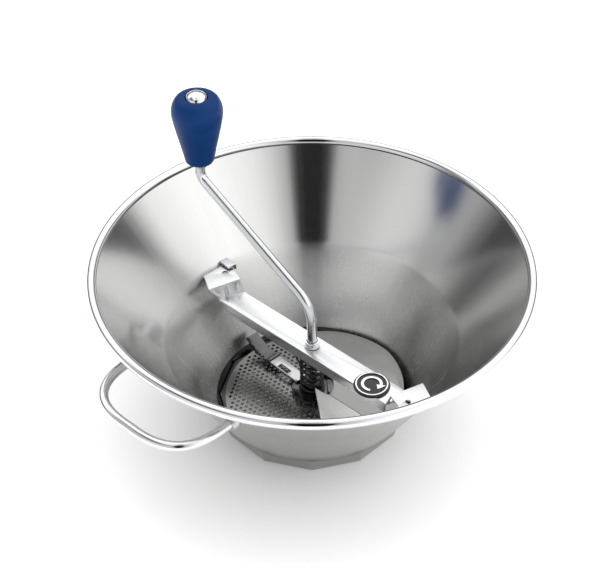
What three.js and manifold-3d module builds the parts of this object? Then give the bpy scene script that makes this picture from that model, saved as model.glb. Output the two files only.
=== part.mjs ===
// A rotary food mill in stainless steel: a wide two-slope bowl with a rolled rim and a twelve-sided seat,
// a perforated grid in the seat, a channel crossbar locked under two lugs, and a cranked rod that turns
// a sprung rotor with a press plate and a hinged scraper. Millimetres, +Z up, the rod's axis is Z.
// The seat's underside is z = 0, the crossbar lies along X and the loop handle points to -Y.
import * as THREE from 'three';
import { mergeVertices } from 'three/addons/utils/BufferGeometryUtils.js';
import Module from 'manifold-3d';

const wasm = await Module();
wasm.setup();

// ---- driving dimensions ----
const gap = 0.3; // between neighbouring pieces

const rimRadius = 151.5; // centreline of the rolled rim
const rimHeight = 131.6;
const beadRadius = 3.5;
const sheet = 1.2;
const bendRadius = 104.9; // inner bend between the two cones
const bendHeight = 70.1;
const seatSides = 12;
const seatTurn = 12.5; // degrees, azimuth of one seat corner
const seatTopRadius = 70; // inner corner radius where the flats start
const seatTopHeight = 13;
const seatBaseRadius = 68.4; // outer corner radius at the base
const lipRadius = 60.5; // opening under the grid

const rodRadius = 3.75;
const boreRadius = rodRadius + gap;
const footHeight = 1;
const crankBendHeight = 94;
const crankAzimuth = 2.5; // degrees past the crossbar
const crankReach = 103.3;
const crankTopBendHeight = 160;
const crankBendLengths = [15, 6]; // how far each bend reaches along its straights
const knobBase = 174.8;
const knobLength = 52.8;
const knobWidestRadius = 18;
const knobFootRadius = 10.4;
const knobSocketDepth = 5;
const capRadius = 7.6;

const barTop = 58.1;
const barWidth = 19;
const barSheet = 1.5;
const barDepth = 8.5;
const barFlat = 81.5; // half length of the flat web, at its middle
const tongueTop = 69.4; // the raised ends
const badgeRadius = 13;
const badgeX = 58.8;
const badgeY = -2.4; // pressed on a little off the bar's middle line

const gridFlatRadius = 63.5;
const gridRise = 2;
const gridSheet = 1;
const gridEdgeTop = 10.5;

const hubFlangeRadius = 15;
const hubSleeveRadius = 6.6;
const hubBottom = 13.2;
const hubFlangeTop = 15.7;
const hubTop = 24;
const springRadius = 8;
const wireRadius = 1;
const springTurns = 5;
const washerRadius = 9.8;
const washerThickness = 1.2;

const plateRadius = 67.5;
const plateTrailRadius = 60;
const plateInnerRadius = 16;
const plateSheet = 1.5;
const plateHeight = 17.8;
const plateLeadHeight = 30;
const plateTrailHeight = 13.4;
const plateAngles = { lead: -40, bend: 0, fall: 75, trail: 150 }; // degrees round the shaft

const bracketAzimuth = 45;
const scraperAzimuth = 176;
const scraperWidth = 10;
const scraperPinReach = 43;
const scraperTipReach = 67;
const scraperTipHeight = 24;

const handleAzimuth = -90;
const handleRodRadius = 3.4;
const handleHeight = 104.6;
const handleHalfWidth = 45;
const handleOut = 172.5;
const handleCorner = 38;

const restAzimuth = 90;
const restSpread = 18;
const restHeight = 104;
const restReach = 148;

// ---- finishes ----
const satinSteel = { color: 0xb9bbbd, roughness: 0.34, metalness: 1 };
const polishedSteel = { color: 0xd4d6d8, roughness: 0.14, metalness: 1 };
const darkSteel = { color: 0x6f7276, roughness: 0.45, metalness: 1 };
const bluePlastic = { color: 0x1c3d78, roughness: 0.38, metalness: 0 };
const blackEnamel = { color: 0x17181a, roughness: 0.3, metalness: 0 };

// ---- shaping ----
const radians = THREE.MathUtils.degToRad;
const point = (x, y) => new THREE.Vector2(x, y);

// Keeps positions only, with shared corners merged and every face pointing out.
function closed(geometry) {
  geometry.deleteAttribute('normal');
  geometry.deleteAttribute('uv');
  const merged = mergeVertices(geometry, 1e-4);
  const position = merged.attributes.position;
  const index = merged.index.array;
  const corner = [0, 1, 2].map(() => new THREE.Vector3());
  const faces = [];
  let volume = 0;
  for (let i = 0; i < index.length; i += 3) {
    const face = [index[i], index[i + 1], index[i + 2]];
    if (new Set(face).size < 3) continue;
    face.forEach((vertex, k) => corner[k].fromBufferAttribute(position, vertex));
    volume += corner[0].dot(corner[1].clone().cross(corner[2]));
    faces.push(face);
  }
  merged.setIndex(faces.flatMap((face) => (volume < 0 ? [face[0], face[2], face[1]] : face)));
  return merged;
}

function toSolid(geometry) {
  const merged = closed(geometry);
  return new wasm.Manifold(new wasm.Mesh({
    numProp: 3,
    vertProperties: new Float32Array(merged.attributes.position.array),
    triVerts: new Uint32Array(merged.index.array),
  }));
}

function toGeometry(solid) {
  const mesh = solid.getMesh();
  const geometry = new THREE.BufferGeometry();
  geometry.setAttribute('position', new THREE.BufferAttribute(mesh.vertProperties, 3));
  geometry.setIndex(new THREE.BufferAttribute(mesh.triVerts, 1));
  return geometry;
}

const join = (...parts) => toGeometry(parts.map(toSolid).reduce((a, b) => a.add(b)));
const cut = (part, ...tools) => toGeometry(tools.map(toSolid).reduce((a, b) => a.subtract(b), toSolid(part)));

// Turns a radius-height outline round Z. The outline closes on itself unless it ends on the axis.
function turned(outline, segments = 40) {
  const last = outline.at(-1);
  const ring = last.x === 0 && outline[0].x === 0 ? outline : [...outline, outline[0].clone()];
  return closed(new THREE.LatheGeometry(ring, segments).rotateX(Math.PI / 2));
}

const ring = (inner, outer, low, high, segments) => turned(
  [point(inner, low), point(outer, low), point(outer, high), point(inner, high)], segments);

// A round bar along a curve.
function swept(curve, radius, steps, sides = 10) {
  const section = new THREE.Shape(
    Array.from({ length: sides }, (_, i) => {
      const angle = (i / sides) * 2 * Math.PI;
      return point(radius * Math.cos(angle), radius * Math.sin(angle));
    }));
  return closed(new THREE.ExtrudeGeometry(section, { steps, extrudePath: curve, bevelEnabled: false }));
}

// A run of straight lines, each corner rounded over its own length to either side.
function routed(corners, eases) {
  const route = new THREE.CurvePath();
  let from = corners[0];
  corners.slice(1, -1).forEach((corner, i) => {
    const before = corner.clone().lerp(corners[i], eases[i] / corner.distanceTo(corners[i]));
    const after = corner.clone().lerp(corners[i + 2], eases[i] / corner.distanceTo(corners[i + 2]));
    route.add(new THREE.LineCurve3(from, before));
    route.add(new THREE.QuadraticBezierCurve3(before, corner, after));
    from = after;
  });
  route.add(new THREE.LineCurve3(from, corners.at(-1)));
  return route;
}

// A strip of sheet whose middle line runs through radius-height points, as wide as width along Y.
function folded(middle, thickness, width) {
  const half = thickness / 2;
  const side = (sign) => middle.map((here, i) => {
    const back = here.clone().sub(middle[Math.max(i - 1, 0)]).normalize();
    const ahead = middle[Math.min(i + 1, middle.length - 1)].clone().sub(here).normalize();
    const first = i === 0 ? ahead : back;
    const second = i === middle.length - 1 ? back : ahead;
    const normal = point(-first.y - second.y, first.x + second.x).normalize();
    const reach = half / Math.cos(Math.acos(Math.min(1, first.dot(second))) / 2);
    return here.clone().addScaledVector(normal, sign * reach);
  });
  return blade(new THREE.Shape([...side(1), ...side(-1).reverse()]), width);
}

// A side outline in X and Z, given its width along Y and centred on y = 0.
function blade(shape, width) {
  const geometry = new THREE.ExtrudeGeometry(shape, { depth: width, bevelEnabled: false, curveSegments: 8 });
  return closed(geometry.rotateX(Math.PI / 2).translate(0, width / 2, 0));
}

const upright = (radius, height, sides = 20) =>
  new THREE.CylinderGeometry(radius, radius, height, sides).rotateX(Math.PI / 2);

const rivetHead = (radius, height) => turned([
  point(0, 0),
  point(radius, 0),
  point(radius * 0.86, height * 0.55),
  point(radius * 0.5, height * 0.9),
  point(0, height),
], 16);

const group = new THREE.Group();

function place(name, geometry, finish, azimuth = 0, offset = [0, 0, 0]) {
  const mesh = new THREE.Mesh(geometry, new THREE.MeshStandardMaterial(finish));
  mesh.name = name;
  const arm = new THREE.Group();
  arm.rotation.z = radians(azimuth);
  mesh.position.set(...offset);
  arm.add(mesh);
  group.add(arm);
  return mesh;
}

// ---- bowl ----
// Inner radius of the bowl wall at a height above the seat, and the wall's thickness across.
const upperSlope = (rimRadius - beadRadius * 0.94 - bendRadius) / (rimHeight - 1.2 - bendHeight);
const lowerSlope = (bendRadius - seatTopRadius) / (bendHeight - seatTopHeight);
const across = (slope) => sheet * Math.hypot(1, slope);
const innerRadius = (z) => bendRadius + (z - bendHeight) * (z > bendHeight ? upperSlope : lowerSlope);
const seatWall = across(lowerSlope);
const seatInnerRadius = (z) =>
  THREE.MathUtils.mapLinear(z, 1, seatTopHeight - 1, seatBaseRadius - seatWall, seatTopRadius - 0.6);
const outerRadius = (z) => innerRadius(z) + across(z > bendHeight ? upperSlope : lowerSlope);

// Presses a turned piece into twelve flats below the seat's top, outside the given radius.
function pressFlats(turnedPiece, roundRadius) {
  const geometry = turnedPiece.rotateZ(radians(seatTurn));
  const position = geometry.attributes.position;
  const step = (2 * Math.PI) / seatSides;
  for (let i = 0; i < position.count; i += 1) {
    const [x, y, z] = [position.getX(i), position.getY(i), position.getZ(i)];
    const isRound = Math.hypot(x, y) < roundRadius + 0.1;
    const amount = isRound ? 0 : THREE.MathUtils.clamp(seatTopHeight - z, 0, 1);
    const turn = THREE.MathUtils.euclideanModulo(Math.atan2(y, x) - radians(seatTurn), step);
    const flat = Math.cos(step / 2) / Math.cos(turn - step / 2);
    const scale = 1 + amount * (flat - 1);
    position.setXY(i, x * scale, y * scale);
  }
  return geometry;
}

function bowlOutline() {
  const start = radians(200);
  const end = radians(-135);
  const beadSteps = 9;
  const bead = Array.from({ length: beadSteps + 1 }, (_, i) => {
    const angle = start + ((end - start) * i) / beadSteps;
    return point(rimRadius + beadRadius * Math.cos(angle), rimHeight + beadRadius * Math.sin(angle));
  });
  return [
    point(lipRadius, sheet),
    point(seatInnerRadius(sheet), sheet),
    point(seatInnerRadius(seatTopHeight - 1), seatTopHeight - 1),
    point(seatTopRadius, seatTopHeight),
    point(bendRadius, bendHeight),
    ...bead,
    point(outerRadius(bendHeight), bendHeight - 0.4),
    point(seatTopRadius + seatWall, seatTopHeight),
    point(seatTopRadius + seatWall - 0.6, seatTopHeight - 1),
    point(seatBaseRadius, 1),
    point(seatBaseRadius - 1, 0),
    point(lipRadius, 0),
  ];
}

place('bowl', pressFlats(turned(bowlOutline(), 96), lipRadius), satinSteel);

// The solid that the bowl and its hollow fill, for trimming what is welded to its outside.
function bowlBlock() {
  const low = 80;
  const high = rimHeight - 6;
  return turned([point(0, low), point(outerRadius(low) + gap, low), point(outerRadius(high) + gap, high),
    point(0, high)], 96);
}

// ---- loop handle ----
function handleRoute() {
  const inner = outerRadius(handleHeight) - 8;
  const corner = (u, v) => new THREE.Vector3(u, v, handleHeight);
  return routed([
    corner(inner, -handleHalfWidth),
    corner(handleOut, -handleHalfWidth),
    corner(handleOut, handleHalfWidth),
    corner(inner, handleHalfWidth),
  ], [handleCorner, handleCorner]);
}

const handleRod = swept(handleRoute(), handleRodRadius, 44, 10);
place('loop_handle', cut(handleRod, bowlBlock().rotateZ(radians(-handleAzimuth))), polishedSteel, handleAzimuth);

[['left', -1], ['right', 1]].forEach(([side, sign]) => {
  const weldX = Math.sqrt(outerRadius(handleHeight) ** 2 - handleHalfWidth ** 2);
  const bead = new THREE.SphereGeometry(5.4, 16, 10).translate(weldX + 1, sign * handleHalfWidth, handleHeight);
  const bore = new THREE.CylinderGeometry(handleRodRadius + gap, handleRodRadius + gap, 60, 16)
    .rotateZ(Math.PI / 2)
    .translate(weldX, sign * handleHalfWidth, handleHeight);
  const weld = cut(bead, bowlBlock().rotateZ(radians(-handleAzimuth)), bore);
  place(`handle_weld_${side}`, weld, satinSteel, handleAzimuth);
});

// ---- rest lugs opposite the handle ----
[['left', 1], ['right', -1]].forEach(([side, sign]) => {
  const wallX = (z) => outerRadius(z) + gap + 1.4;
  const lug = folded([
    point(wallX(restHeight + 16), restHeight + 16),
    point(wallX(restHeight), restHeight),
    point(restReach, restHeight),
  ], 1.5, 12);
  place(`rest_lug_${side}`, lug, satinSteel, restAzimuth + sign * restSpread);
});

// ---- grid in the seat: a low dome whose twelve-sided skirt stands on the seat's lip ----
function gridOutline() {
  const steps = 5;
  const skirtLow = sheet + gap;
  const bushRadius = 7.3;
  const height = (r) => gridEdgeTop + gridRise * (1 - (r / gridFlatRadius) ** 2);
  const dome = Array.from({ length: steps + 1 }, (_, i) => {
    const r = bushRadius + ((gridFlatRadius - bushRadius) * i) / steps;
    return point(r, height(r));
  });
  const skirt = (z, inset) => point(seatInnerRadius(z) - inset, z);
  return [
    ...dome,
    skirt(gridEdgeTop - 0.3, 1),
    skirt(gridEdgeTop - 1, 0.6),
    skirt(skirtLow, 0.6),
    skirt(skirtLow, 1.8),
    skirt(gridEdgeTop - gridSheet, 2),
    ...dome.map((p) => point(p.x, p.y - gridSheet)).reverse(),
  ];
}

place('grid_disc', pressFlats(turned(gridOutline(), 48), gridFlatRadius), satinSteel);
place('grid_bush', ring(boreRadius, 7, gridEdgeTop - 1, hubBottom - gap, 24), polishedSteel);

// ---- crossbar: a channel whose ends are joggled up into wide skewed tongues ----
// Each row is an edge-to-edge line across the sheet, from the +X tip to the middle.
const tongueRows = [
  { left: [102.8, 7.5], right: [101.2, -17], top: tongueTop },
  { left: [90, 15], right: [81.5, -9.5], top: tongueTop - 0.8 },
  { left: [85.5, barWidth / 2], right: [77.5, -barWidth / 2], top: barTop },
];

function barSheetBody() {
  const opposite = ([x, y]) => [-x, -y];
  const farRows = tongueRows.map(({ left, right, top }) =>
    ({ left: opposite(right), right: opposite(left), top })).reverse();
  const rows = [...tongueRows, ...farRows];
  const geometry = new THREE.BoxGeometry(1, 1, 1, rows.length - 1, 1, 1).translate(0.5, 0.5, 0.5);
  const position = geometry.attributes.position;
  for (let i = 0; i < position.count; i += 1) {
    const row = rows[Math.round(position.getX(i) * (rows.length - 1))];
    const [x, y] = position.getY(i) < 0.5 ? row.left : row.right;
    position.setXYZ(i, x, y, row.top - barSheet * (1 - position.getZ(i)));
  }
  return closed(geometry);
}

function crossbar() {
  const flanges = [-1, 1].map((sign) =>
    new THREE.BoxGeometry(2 * (barFlat - 5), barSheet, barDepth - 0.4)
      .translate(0, (sign * (barWidth - barSheet)) / 2, barTop - 0.4 - (barDepth - 0.4) / 2));
  const holes = [upright(boreRadius + 0.3, 30).translate(0, 0, barTop)];
  [-1, 1].forEach((end) => {
    const hole = (radius, x, y) => upright(radius, 30, 14).translate(end * x, end * y, barTop + 8);
    holes.push(hole(2.2, 94.5, -6.5), hole(1.6, 83.7, 3), hole(1.6, 80.6, -6.4));
  });
  return cut(join(barSheetBody(), ...flanges), ...holes);
}

place('crossbar', crossbar(), satinSteel);
place('shaft_bush', ring(boreRadius, 5.4, barTop + gap, barTop + 5.3, 24), polishedSteel);

// ---- badge: a plain disc, a ring and a turning arrow that shows which way to crank ----
const badgeBottom = barTop + gap;
const markBottom = badgeBottom + 1.2 + gap;
place('badge_disc', turned([
  point(0, 0),
  point(badgeRadius, 0),
  point(badgeRadius, 0.6),
  point(badgeRadius - 0.7, 1.2),
  point(0, 1.2),
], 36), blackEnamel, 0, [badgeX, badgeY, badgeBottom]);
place('badge_ring', ring(10.6, 11.6, 0, 0.4, 36), polishedSteel, 0, [badgeX, badgeY, markBottom]);

function turningArrow() {
  const shape = new THREE.Shape();
  const outer = 7.6;
  const inner = 5.6;
  const tail = radians(60);
  const neck = radians(330);
  shape.absarc(0, 0, outer, tail, neck, false);
  shape.lineTo(10 * Math.cos(neck), 10 * Math.sin(neck));
  shape.lineTo(6.8 * Math.cos(neck + 0.75), 6.8 * Math.sin(neck + 0.75));
  shape.lineTo(3.4 * Math.cos(neck), 3.4 * Math.sin(neck));
  shape.lineTo(inner * Math.cos(neck), inner * Math.sin(neck));
  shape.absarc(0, 0, inner, neck, tail, true);
  const arrow = new THREE.ExtrudeGeometry(shape, { depth: 0.4, bevelEnabled: false, curveSegments: 20 });
  return closed(arrow.scale(1, -1, 1));
}

place('badge_arrow', turningArrow(), polishedSteel, 0, [badgeX, badgeY, markBottom]);

// ---- lugs that hold the tongues down and stop the crank dragging the crossbar round ----
const lugSkew = -8; // degrees from the crossbar's middle line to a lug's
[['right', lugSkew], ['left', 180 + lugSkew]].forEach(([side, azimuth]) => {
  const low = tongueTop + 0.95;
  const wallX = innerRadius(low) - gap;
  const width = 7;
  const finger = new THREE.BoxGeometry(10, width, 1.5).translate(wallX - 5, 0, low + 0.75);
  const stop = new THREE.BoxGeometry(4.5, 1.5, 4.4).translate(wallX - 7.75, -width / 2, low - 1.25);
  place(`bar_lug_${side}`, join(finger, stop), satinSteel, azimuth);
});
// ---- spring round the shaft, between a cup under the crossbar and a seat on the hub ----
const cupBottom = barTop - barDepth - gap - 1.4;
const seatBottom = hubFlangeTop + gap;
const springLow = seatBottom + washerThickness + gap + wireRadius;
const springHigh = cupBottom - gap - wireRadius;

class Helix extends THREE.Curve {
  getPoint(t, target = new THREE.Vector3()) {
    const angle = 2 * Math.PI * springTurns * t;
    const z = THREE.MathUtils.lerp(springLow, springHigh, t);
    return target.set(springRadius * Math.cos(angle), springRadius * Math.sin(angle), z);
  }
}

place('spring_cup', ring(boreRadius, washerRadius, cupBottom, cupBottom + 1.4, 24), darkSteel);
place('shaft_spring', swept(new Helix(), wireRadius, springTurns * 13, 8), darkSteel);
place('spring_seat', ring(hubSleeveRadius + gap, washerRadius, seatBottom, seatBottom + washerThickness, 24),
  darkSteel);

// ---- rotor hub and press plate ----
place('rotor_hub', turned([
  point(boreRadius, hubBottom),
  point(hubFlangeRadius, hubBottom),
  point(hubFlangeRadius, hubFlangeTop),
  point(hubSleeveRadius, hubFlangeTop),
  point(hubSleeveRadius, hubTop),
  point(boreRadius, hubTop),
], 32), satinSteel);

// How high the plate's underside is, and how far the plate reaches, at an angle round the shaft.
function plateZ(azimuth) {
  const { lead, bend, fall, trail } = plateAngles;
  if (azimuth < bend) return THREE.MathUtils.mapLinear(azimuth, lead, bend, plateLeadHeight, plateHeight);
  if (azimuth < fall) return plateHeight;
  return THREE.MathUtils.mapLinear(azimuth, fall, trail, plateHeight, plateTrailHeight);
}

function plateEdge(azimuth) {
  const { fall, trail } = plateAngles;
  return azimuth < fall ? plateRadius
    : THREE.MathUtils.mapLinear(azimuth, fall, trail, plateRadius, plateTrailRadius);
}

// A flat box wrapped round the shaft: its length becomes the azimuth and its width the radius.
function pressPlate() {
  const { lead, trail } = plateAngles;
  const geometry = new THREE.BoxGeometry(1, 1, 1, 26, 3, 1).translate(0.5, 0.5, 0.5);
  const position = geometry.attributes.position;
  for (let i = 0; i < position.count; i += 1) {
    const azimuth = THREE.MathUtils.lerp(lead, trail, position.getX(i));
    const radius = THREE.MathUtils.lerp(plateInnerRadius, plateEdge(azimuth), position.getY(i));
    const z = plateZ(azimuth) + position.getZ(i) * plateSheet;
    position.setXYZ(i, radius * Math.cos(radians(azimuth)), radius * Math.sin(radians(azimuth)), z);
  }
  return closed(geometry);
}

place('press_plate', pressPlate(), satinSteel);
// Flat strips lie on the hub's flange: one carries the plate, the other is the scraper's arm.
const stripLow = hubFlangeTop + gap;
const stripSheet = 1.5;
const stripMiddle = stripLow + stripSheet / 2;
const strip = (from, to, width) =>
  new THREE.BoxGeometry(to - from, width, stripSheet).translate((from + to) / 2, 0, stripMiddle);
place('plate_bracket', strip(11.2, 48, 14), satinSteel, bracketAzimuth);
[34, 43].forEach((reach, i) => {
  place(`plate_rivet_${i + 1}`, rivetHead(2.8, 1.2), polishedSteel, bracketAzimuth,
    [reach, 0, plateHeight + plateSheet + gap]);
});

// ---- scraper: an arm on the hub and a toothed blade hinged at its end ----
const armSlot = new THREE.BoxGeometry(11, 4, 8).translate(28, 2, stripMiddle);
place('scraper_arm', cut(strip(11.2, scraperPinReach - 2.3, scraperWidth), armSlot), satinSteel, scraperAzimuth);
place('scraper_pin', new THREE.CylinderGeometry(1.6, 1.6, scraperWidth + 3, 16), polishedSteel, scraperAzimuth,
  [scraperPinReach, 0, stripMiddle]);

function scraperBlade() {
  const width = scraperWidth + 1;
  const root = scraperPinReach + 2.1;
  const body = folded([
    point(root, stripMiddle),
    point(root + 10, stripMiddle),
    point(scraperTipReach, scraperTipHeight),
  ], 1.2, width);
  const notches = [1, 2, 3, 4].map((i) =>
    new THREE.BoxGeometry(1.8, 3.4, 12).translate(root + i * 3.6, width / 2, stripMiddle));
  return cut(body, ...notches);
}

place('scraper_blade', scraperBlade(), satinSteel, scraperAzimuth);

// ---- crank rod ----
function crankRoute() {
  const at = (x, z) => new THREE.Vector3(x, 0, z);
  return routed([
    at(0, footHeight),
    at(0, crankBendHeight),
    at(-crankReach, crankTopBendHeight),
    at(-crankReach, knobBase + knobLength - knobSocketDepth),
  ], crankBendLengths);
}

place('crank_rod', swept(crankRoute(), rodRadius, 64, 10), polishedSteel, crankAzimuth);

// ---- knob, turning freely on the end of the rod ----
const knobX = -crankReach;
const knobBore = rodRadius + 0.35;

function knobOutline() {
  const side = new THREE.SplineCurve([
    point(knobFootRadius, 1.2),
    point(knobFootRadius + 2, 11),
    point(knobFootRadius + 5.3, 26),
    point(knobWidestRadius, 39),
    point(knobWidestRadius - 0.7, 46),
    point(knobWidestRadius - 3.6, 51),
    point(knobWidestRadius - 8, knobLength),
  ]).getPoints(18);
  const socketRadius = capRadius + 0.4;
  return [
    point(knobBore, 0),
    point(knobFootRadius - 1.2, 0),
    ...side,
    point(socketRadius, knobLength - 0.4),
    point(socketRadius, knobLength - knobSocketDepth),
    point(knobBore, knobLength - knobSocketDepth),
  ];
}

const capLow = knobLength - knobSocketDepth + 0.4;
place('knob_grip', turned(knobOutline(), 28), bluePlastic, crankAzimuth, [knobX, 0, knobBase]);
place('knob_cap', turned([
  point(0, capLow),
  point(capRadius, capLow),
  point(capRadius, capLow + 4.2),
  point(capRadius * 0.8, capLow + 6.2),
  point(capRadius * 0.45, capLow + 7.5),
  point(0, capLow + 8),
], 24), polishedSteel, crankAzimuth, [knobX, 0, knobBase]);
place('knob_collar', ring(boreRadius, 6.4, -3.3, -gap, 24), polishedSteel, crankAzimuth,
  [knobX, 0, knobBase]);

export default group;
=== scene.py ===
# A rotary food mill in stainless steel: a spun bowl with a rolled rim and a twelve-sided seat, a domed
# grid in the seat, a channel crossbar under two lugs, and a cranked rod that drives a sprung press plate.
import math
import bmesh
import bpy
from mathutils import Matrix, Vector


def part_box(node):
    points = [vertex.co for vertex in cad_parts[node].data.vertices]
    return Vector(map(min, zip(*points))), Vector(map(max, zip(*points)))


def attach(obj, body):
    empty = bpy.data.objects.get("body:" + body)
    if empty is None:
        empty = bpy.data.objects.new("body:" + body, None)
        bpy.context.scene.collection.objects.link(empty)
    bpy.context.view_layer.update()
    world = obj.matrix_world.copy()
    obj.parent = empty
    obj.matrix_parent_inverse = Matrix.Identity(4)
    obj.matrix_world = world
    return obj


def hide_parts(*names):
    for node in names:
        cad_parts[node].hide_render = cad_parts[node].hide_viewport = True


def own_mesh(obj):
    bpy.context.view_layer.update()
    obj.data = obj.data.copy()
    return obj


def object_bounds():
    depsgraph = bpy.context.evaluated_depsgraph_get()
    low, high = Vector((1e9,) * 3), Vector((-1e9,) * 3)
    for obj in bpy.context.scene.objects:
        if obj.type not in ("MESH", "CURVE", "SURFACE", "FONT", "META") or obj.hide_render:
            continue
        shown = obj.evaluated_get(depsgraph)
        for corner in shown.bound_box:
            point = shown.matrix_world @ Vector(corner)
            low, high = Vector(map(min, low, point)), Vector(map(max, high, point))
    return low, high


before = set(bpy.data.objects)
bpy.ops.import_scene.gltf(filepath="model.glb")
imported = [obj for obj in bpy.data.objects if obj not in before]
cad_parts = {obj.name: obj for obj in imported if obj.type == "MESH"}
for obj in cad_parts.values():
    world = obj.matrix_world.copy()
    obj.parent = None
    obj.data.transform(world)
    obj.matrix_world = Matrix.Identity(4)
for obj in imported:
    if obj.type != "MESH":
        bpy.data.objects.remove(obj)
cad_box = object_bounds()

# ---- studio ----
# A white sweep under a light tent: the right of the tent is bright, the left is duller, and a dark slot
# stands over the camera, which polished steel shows as crisp dark bands.
mm = 0.001
scene = bpy.context.scene
rim_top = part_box("bowl")[1][2]
camera_azimuth = math.radians(42.5)
camera_elevation = math.radians(39.68)
camera_distance = 1.0605
# The camera turns about the middle of the rim's bead.
aim = Vector((0, 0, rim_top - 3.5 * mm))
toward_camera = Vector((
    math.sin(camera_azimuth) * math.cos(camera_elevation),
    -math.cos(camera_azimuth) * math.cos(camera_elevation),
    math.sin(camera_elevation),
))
camera = bpy.data.objects.new("camera", bpy.data.cameras.new("camera"))
camera.data.lens = 91.08
camera.data.shift_x = -0.0133
camera.data.shift_y = -0.0281
camera.location = aim + toward_camera * camera_distance
camera.rotation_euler = toward_camera.to_track_quat("Z", "Y").to_euler()
scene.collection.objects.link(camera)
scene.camera = camera
scene.view_settings.view_transform = "Standard"


def linear(hex_colour):
    """An sRGB hex colour as linear RGBA."""
    channels = [int(hex_colour[i:i + 2], 16) / 255 for i in (1, 3, 5)]
    return (*[c / 12.92 if c <= 0.04045 else ((c + 0.055) / 1.055) ** 2.4 for c in channels], 1)


def put(tree, kind, settings=None, values=None, links=None):
    """Adds one node with its settings, socket values and incoming links."""
    made = tree.nodes.new(kind)
    for name, value in (settings or {}).items():
        setattr(made, name, value)
    for socket, value in (values or {}).items():
        made.inputs[socket].default_value = value
    for socket, source in (links or {}).items():
        tree.links.new(source, made.inputs[socket])
    return made


def surface(name):
    """An empty material, its tree and its surface shader."""
    material = bpy.data.materials.new(name)
    material.use_nodes = True
    tree = material.node_tree
    return material, tree, tree.nodes["Principled BSDF"]


tent = bpy.data.worlds.new("light_tent")
scene.world = tent
tent.use_nodes = True
sky = tent.node_tree
direction = put(sky, "ShaderNodeTexCoord").outputs["Generated"]
to_right = Vector((math.cos(camera_azimuth), math.sin(camera_azimuth), 0))
to_front = Vector((math.sin(camera_azimuth), -math.cos(camera_azimuth), 0))
across = put(sky, "ShaderNodeVectorMath", {"operation": "DOT_PRODUCT"}, {1: to_right}, {0: direction})
across = across.outputs["Value"]
ahead = put(sky, "ShaderNodeVectorMath", {"operation": "DOT_PRODUCT"}, {1: to_front}, {0: direction})
ahead = ahead.outputs["Value"]
height = put(sky, "ShaderNodeSeparateXYZ", links={0: direction}).outputs["Z"]

# From left to right: a dull softbox, a gap over the object, and a brighter softbox.
side_position = put(sky, "ShaderNodeMath", {"operation": "MULTIPLY_ADD"}, {1: 0.5, 2: 0.5}, {0: across})
side_light = put(sky, "ShaderNodeFloatCurve", links={"Value": side_position.outputs[0]})
side_curve = side_light.mapping.curves[0]
side_levels = [(0, 0.3), (0.03, 0.34), (0.065, 0.55), (0.13, 0.64), (0.22, 0.6), (0.34, 0.47), (0.5, 0.38),
               (0.6, 0.44), (0.7, 0.74), (0.82, 0.92), (0.91, 1), (0.96, 0.9), (1, 0.7)]
for x, y in side_levels[1:-1]:
    side_curve.points.new(x, y)
side_curve.points[0].location = side_levels[0]
side_curve.points[-1].location = side_levels[-1]
side_light.mapping.update()
level = put(sky, "ShaderNodeMath", {"operation": "MULTIPLY"}, {1: 1.55}, {0: side_light.outputs[0]}).outputs[0]

# The slot over the camera is widest at half height and narrow at the ceiling.
slot_growth = put(sky, "ShaderNodeMapRange", {"interpolation_type": "SMOOTHSTEP"},
                  {"From Min": 0.2, "From Max": 0.58, "To Min": 0.12, "To Max": 0.178}, {"Value": height})
slot_taper = put(sky, "ShaderNodeMapRange", {"interpolation_type": "SMOOTHSTEP"},
                 {"From Min": 0.62, "From Max": 1, "To Min": 1, "To Max": 0.3}, {"Value": height})
slot_width = put(sky, "ShaderNodeMath", {"operation": "MULTIPLY"},
                 links={0: slot_growth.outputs[0], 1: slot_taper.outputs[0]})
off_middle = put(sky, "ShaderNodeMath", {"operation": "ABSOLUTE"}, links={0: across})
slot_edge = put(sky, "ShaderNodeMath", {"operation": "DIVIDE"},
                links={0: off_middle.outputs[0], 1: slot_width.outputs[0]}).outputs[0]

# Each zone of the tent is the product of soft steps (a value, where its step starts and ends, and the weight
# at either end). In the zone the light is kept by one share and another amount is added.
zones = [
    # The left softbox stops below the ceiling, and a dull gap stands between them.
    ([(height, 0.5, 0.66, 0, 1), (across, -0.55, -0.25, 1, 0)], 0.2, 0),
    # The ceiling is one bright panel.
    ([(height, 0.84, 0.93, 0, 1)], 0, 1.25),
    # Behind the object the tent is dull near the floor and bright above.
    ([(ahead, -0.4, 0.02, 1, 0), (height, 0.2, 0.42, 1, 0)], 0.07, 0),
    ([(ahead, -0.4, 0.02, 1, 0), (height, 0.4, 0.55, 0, 1)], 0, 1.6),
    # The slot over the camera is black, and half as strong at the ceiling.
    ([(slot_edge, 0.9, 1.12, 1, 0), (ahead, -0.05, 0.12, 0, 1), (height, 0.02, 0.12, 0, 1),
      (height, 0.75, 1, 1, 0.5)], 0.005, 0),
]
for steps, kept, added in zones:
    weight = None
    for value, start, end, at_start, at_end in steps:
        step = put(sky, "ShaderNodeMapRange", {"interpolation_type": "SMOOTHSTEP"},
                   {"From Min": start, "From Max": end, "To Min": at_start, "To Max": at_end}, {"Value": value})
        if weight is None:
            weight = step.outputs[0]
            continue
        weight = put(sky, "ShaderNodeMath", {"operation": "MULTIPLY"}, links={0: weight, 1: step.outputs[0]})
        weight = weight.outputs[0]
    zone_level = put(sky, "ShaderNodeMath", {"operation": "MULTIPLY_ADD"}, {1: kept, 2: added}, {0: level})
    level = put(sky, "ShaderNodeMix", {"data_type": "FLOAT"},
                links={0: weight, 2: level, 3: zone_level.outputs[0]}).outputs[0]
sky.links.new(level, sky.nodes["Background"].inputs["Strength"])
sky.nodes["Background"].inputs["Color"].default_value = linear("#ffffff")

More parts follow.
